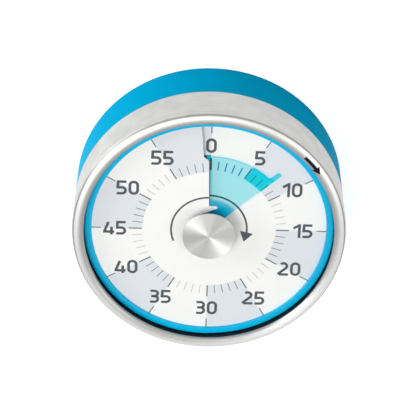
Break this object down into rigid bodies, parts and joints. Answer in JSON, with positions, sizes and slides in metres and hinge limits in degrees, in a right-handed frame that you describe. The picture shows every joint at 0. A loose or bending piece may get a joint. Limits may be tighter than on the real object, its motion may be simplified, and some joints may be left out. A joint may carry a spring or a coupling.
{
  "type": "visual countdown timer",
  "caption": "Round 60-minute clockwork timer: blue case, turning steel ring with lens and knob, and a spiral dial over which a cyan disc winds out to show the time left.",
  "frame": {"origin": "centre of the back face, on the surface that the timer lies or hangs against", "axes": "+Z out of the dial along the main arbor, +Y towards the 0 of the dial, +X towards its 15"},
  "size_m": [0.08, 0.08, 0.0298],
  "materials": {
    "blue_plastic": "satin",
    "brushed_steel": "brushed",
    "clear_lens": "clear, polished",
    "black_plastic": "satin",
    "dial_white": "printed, matt",
    "cyan_film": "translucent",
    "brass": "rolled",
    "polished_steel": "polished",
    "plain_steel": "turned",
    "magnet": "pressed ferrite, matt"
  },
  "bodies": {
    "case": {"rear_housing": "blue_plastic", "back_cover": "black_plastic", "magnets": "magnet", "case_screws": "plain_steel", "retaining_ring": "plain_steel", "dial_frame": "blue_plastic", "frame_screws": "plain_steel", "dial_plate": "dial_white", "front_plate": "brass", "back_plate": "brass", "pillars": "plain_steel", "plate_screws": "plain_steel", "spring_barrel": "brass", "mainspring": "plain_steel", "bell": "polished_steel", "bell_post": "plain_steel", "bell_screw": "plain_steel", "hammer_spring": "plain_steel"},
    "head": {"steel_ring": "brushed_steel", "drive_ring": "black_plastic", "lens_seat": "black_plastic", "lens": "clear_lens", "knob": "brushed_steel", "drive_sleeve": "plain_steel", "main_arbor": "plain_steel", "main_wheel": "brass", "ratchet_wheel": "plain_steel", "click": "plain_steel", "lifting_pin": "plain_steel"},
    "disc": {"time_disc": "cyan_film", "disc_hub": "cyan_film"},
    "second": {"second_wheel": "brass", "second_pinion": "plain_steel"},
    "third": {"third_wheel": "brass", "third_pinion": "plain_steel"},
    "escape": {"escape_wheel": "brass", "escape_pinion": "plain_steel"},
    "balance": {"balance_wheel": "brass", "balance_arbor": "plain_steel", "pallets": "plain_steel"},
    "hammer": {"hammer": "plain_steel", "hammer_lever": "plain_steel", "hammer_arbor": "plain_steel"}
  },
  "joints": [
    {"name": "head_turn", "type": "hinge", "parent": "case", "child": "head", "pos_m": [0, 0, 0.028], "axis": [0, 0, -1], "range_deg": [-48, 312]},
    {"name": "disc_lift", "type": "slide", "parent": "head", "child": "disc", "axis": [0, 0, 1], "range_m": [-0.00017, 0.00113]},
    {"name": "second_turn", "type": "hinge", "parent": "case", "child": "second", "pos_m": [-0.01316, -0.00479, 0.0134], "axis": [0, 0, -1], "range_deg": [-1875, 290]},
    {"name": "third_turn", "type": "hinge", "parent": "case", "child": "third", "pos_m": [-0.00846, -0.01299, 0.0134], "axis": [0, 0, -1], "range_deg": [-1442, 9362]},
    {"name": "escape_turn", "type": "hinge", "parent": "case", "child": "escape", "pos_m": [-0.00393, -0.01859, 0.0134], "axis": [0, 0, -1], "range_deg": [-46810, 7210]},
    {"name": "balance_swing", "type": "hinge", "parent": "case", "child": "balance", "pos_m": [0.00285, -0.0203, 0.0134], "axis": [0, 0, 1], "range_deg": [-6, 6]},
    {"name": "hammer_swing", "type": "hinge", "parent": "case", "child": "hammer", "pos_m": [0.0044, 0.01642, 0.0134], "axis": [0, 0, -1], "range_deg": [0, 6], "stiffness_Nm_per_rad": 0.002, "springref_deg": -17.19}
  ],
  "couplings": [
    {"joint": "disc_lift", "follows": "head_turn", "m_per_rad": 0.0002069},
    {"joint": "second_turn", "follows": "head_turn", "ratio": -6},
    {"joint": "third_turn", "follows": "head_turn", "ratio": 30},
    {"joint": "escape_turn", "follows": "head_turn", "ratio": -150}
  ]
}
